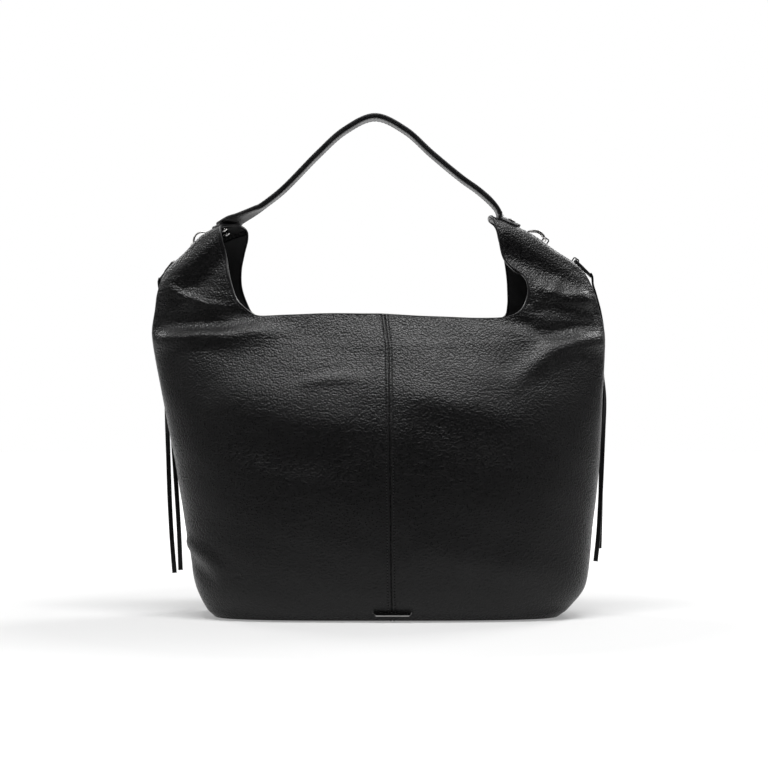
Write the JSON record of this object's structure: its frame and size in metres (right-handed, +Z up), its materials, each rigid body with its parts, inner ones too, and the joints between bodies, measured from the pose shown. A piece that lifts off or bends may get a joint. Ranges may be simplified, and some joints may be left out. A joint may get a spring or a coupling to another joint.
{
  "type": "hobo bag",
  "caption": "Slouchy black leather hobo bag with a short riveted strap, a cut-out open mouth and an expander zip with ring pull and lace tassel along each shoulder.",
  "frame": {"origin": "centre of the bounding box of the bag without its laces, on the floor it stands on", "axes": "+Z up through the strap, front towards -Y, +X to the right as the front is seen"},
  "size_m": [0.4036, 0.15, 0.4414],
  "materials": {
    "pebbled_leather": "black, pebbled grain, semi-matt",
    "smooth_leather": "black, smooth, slight sheen",
    "lining_cloth": "black woven cloth",
    "board": "bare pressed fibre board",
    "zip_cloth": "black woven tape",
    "nickel": "polished nickel plate"
  },
  "bodies": {
    "bag": {"front_panel_left": "pebbled_leather", "front_panel_right": "pebbled_leather", "back_panel_left": "pebbled_leather", "back_panel_right": "pebbled_leather", "base_panel": "pebbled_leather", "base_board": "board", "lining_base": "lining_cloth", "lining_front": "lining_cloth", "lining_back": "lining_cloth", "mouth_facing_front": "smooth_leather", "mouth_facing_back": "smooth_leather", "snap_socket_front": "nickel", "snap_stud_back": "nickel", "name_plate": "nickel", "strap_tab_left": "smooth_leather", "strap_patch_left": "smooth_leather", "rivet_front_left": "nickel", "rivet_back_left": "nickel", "strap_root_left": "smooth_leather", "zip_tape_left": "zip_cloth", "zip_teeth_front_left": "nickel", "zip_teeth_back_left": "nickel", "zip_stop_top_left": "nickel", "zip_stop_bottom_left": "nickel", "strap_tab_right": "smooth_leather", "strap_patch_right": "smooth_leather", "rivet_front_right": "nickel", "rivet_back_right": "nickel", "strap_root_right": "smooth_leather", "zip_tape_right": "zip_cloth", "zip_teeth_front_right": "nickel", "zip_teeth_back_right": "nickel", "zip_stop_top_right": "nickel", "zip_stop_bottom_right": "nickel"},
    "strap": {"strap_outer": "smooth_leather", "strap_backing": "smooth_leather"},
    "upper_slider_left": {"zip_slider_upper_left": "nickel"},
    "ring_pull_left": {"ring_pull_left": "nickel"},
    "lower_slider_left": {"zip_slider_lower_left": "nickel"},
    "tassel_left": {"lace_loop_left": "smooth_leather", "lace_outer_left": "smooth_leather", "lace_inner_left": "smooth_leather"},
    "upper_slider_right": {"zip_slider_upper_right": "nickel"},
    "ring_pull_right": {"ring_pull_right": "nickel"},
    "lower_slider_right": {"zip_slider_lower_right": "nickel"},
    "tassel_right": {"lace_loop_right": "smooth_leather", "lace_outer_right": "smooth_leather", "lace_inner_right": "smooth_leather"}
  },
  "joints": [
    {"name": "strap_swing", "type": "hinge", "parent": "bag", "child": "strap", "pos_m": [0, 0, 0.35], "axis": [1, 0, 0], "range_deg": [-90, 90], "deforming": ["strap_root_left", "strap_root_right"]},
    {"name": "upper_zip_travel_right", "type": "slide", "parent": "bag", "child": "upper_slider_right", "axis": [0.8293, 0, -0.5589], "range_m": [-0.004, 0.01]},
    {"name": "ring_pull_swing_right", "type": "hinge", "parent": "upper_slider_right", "child": "ring_pull_right", "pos_m": [0.14738, 0.00009, 0.32982], "axis": [-0.016, 0.9996, -0.0238], "range_deg": [0, 150]},
    {"name": "lower_zip_travel_right", "type": "slide", "parent": "bag", "child": "lower_slider_right", "axis": [-0.8293, 0, 0.5589], "range_m": [0, 0.006], "deforming": ["lace_outer_right", "lace_inner_right"]},
    {"name": "tassel_swing_right", "type": "hinge", "parent": "lower_slider_right", "child": "tassel_right", "pos_m": [0.17389, 0.00009, 0.31195], "axis": [0.016, -0.9996, 0.0238], "range_deg": [0, 60]},
    {"name": "upper_zip_travel_left", "type": "slide", "parent": "bag", "child": "upper_slider_left", "axis": [-0.7276, 0, -0.686], "range_m": [-0.002, 0.006]},
    {"name": "ring_pull_swing_left", "type": "hinge", "parent": "upper_slider_left", "child": "ring_pull_left", "pos_m": [-0.16276, 0.00145, 0.326], "axis": [-0.3104, -0.8918, 0.3292], "range_deg": [0, 150]},
    {"name": "lower_zip_travel_left", "type": "slide", "parent": "bag", "child": "lower_slider_left", "axis": [0.7276, 0, 0.686], "range_m": [0, 0.006], "deforming": ["lace_outer_left", "lace_inner_left"]},
    {"name": "tassel_swing_left", "type": "hinge", "parent": "lower_slider_left", "child": "tassel_left", "pos_m": [-0.18066, 0.00145, 0.30912], "axis": [0.3104, 0.8918, -0.3292], "range_deg": [0, 60]}
  ]
}
